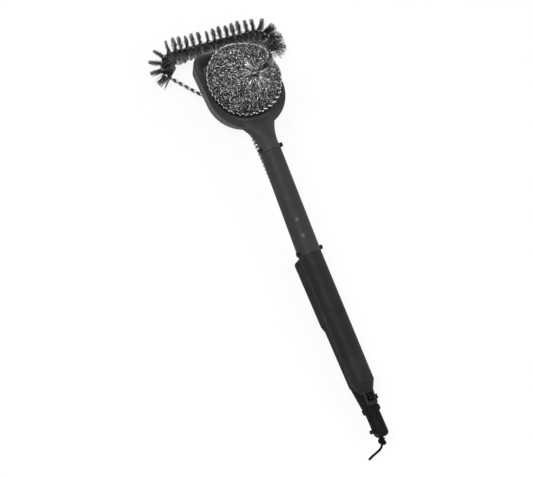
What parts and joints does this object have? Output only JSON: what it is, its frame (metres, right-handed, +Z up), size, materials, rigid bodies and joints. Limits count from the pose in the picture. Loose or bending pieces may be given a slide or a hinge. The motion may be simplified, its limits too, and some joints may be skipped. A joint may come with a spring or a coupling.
{
  "type": "grill cleaning brush",
  "caption": "Long-handled grill brush: a bristled wire loop on a twisted stem, with a clip-on scoop-shaped scrubber that holds a steel mesh scouring pad.",
  "frame": {"origin": "centre of the tool's bounding box at the level it rests on, without the hang cord and its knot", "axes": "+Z up, away from the surface the tool lies on, +Y along the tool from the hang cord to the bristled end, +X to the right"},
  "size_m": [0.171, 0.5152, 0.091],
  "materials": {
    "handle_black": "satin",
    "grip_black": "satin",
    "tube_charcoal": "satin",
    "trim_black": "satin",
    "post_grey": "matte",
    "twisted_wire": "satin",
    "bristle_wire": "satin",
    "pad_wire": "polished",
    "fastener_steel": "satin",
    "cord_black": "matte"
  },
  "bodies": {
    "brush": {"rear_handle_shell": "handle_black", "rear_handle_cover": "handle_black", "tail_collar": "handle_black", "tail_cap": "handle_black", "hang_pin": "trim_black", "stem_wire": "twisted_wire", "side_wire_left": "twisted_wire", "side_wire_right": "twisted_wire", "loop_core": "twisted_wire", "bristle_bar": "bristle_wire", "bristle_corner_left": "bristle_wire", "bristle_corner_right": "bristle_wire", "handle_screws": "fastener_steel", "stem_pin": "fastener_steel", "stem_ferrule": "fastener_steel", "slider_spring": "fastener_steel", "hang_cord": "cord_black", "hang_knot": "cord_black"},
    "scrubber": {"scrubber_cup": "tube_charcoal", "tube_shell": "tube_charcoal", "grip_shell": "grip_black", "grip_plug": "trim_black", "neck_plug": "trim_black", "set_screws": "fastener_steel", "stem_clip": "fastener_steel", "clip_rivets": "fastener_steel", "pad_post": "post_grey", "post_screw": "fastener_steel", "pad_washer": "fastener_steel", "pad_screw": "fastener_steel", "scouring_pad": "pad_wire"},
    "release": {"release_slider": "trim_black"}
  },
  "joints": [
    {"name": "scrubber_lift", "type": "slide", "parent": "brush", "child": "scrubber", "axis": [0, 0, 1], "range_m": [0, 0.12]},
    {"name": "release_press", "type": "slide", "parent": "brush", "child": "release", "axis": [-1, 0, 0], "range_m": [0, 0.0025], "stiffness_N_per_m": 400, "springref_m": -0.002, "deforming": ["slider_spring"]}
  ]
}
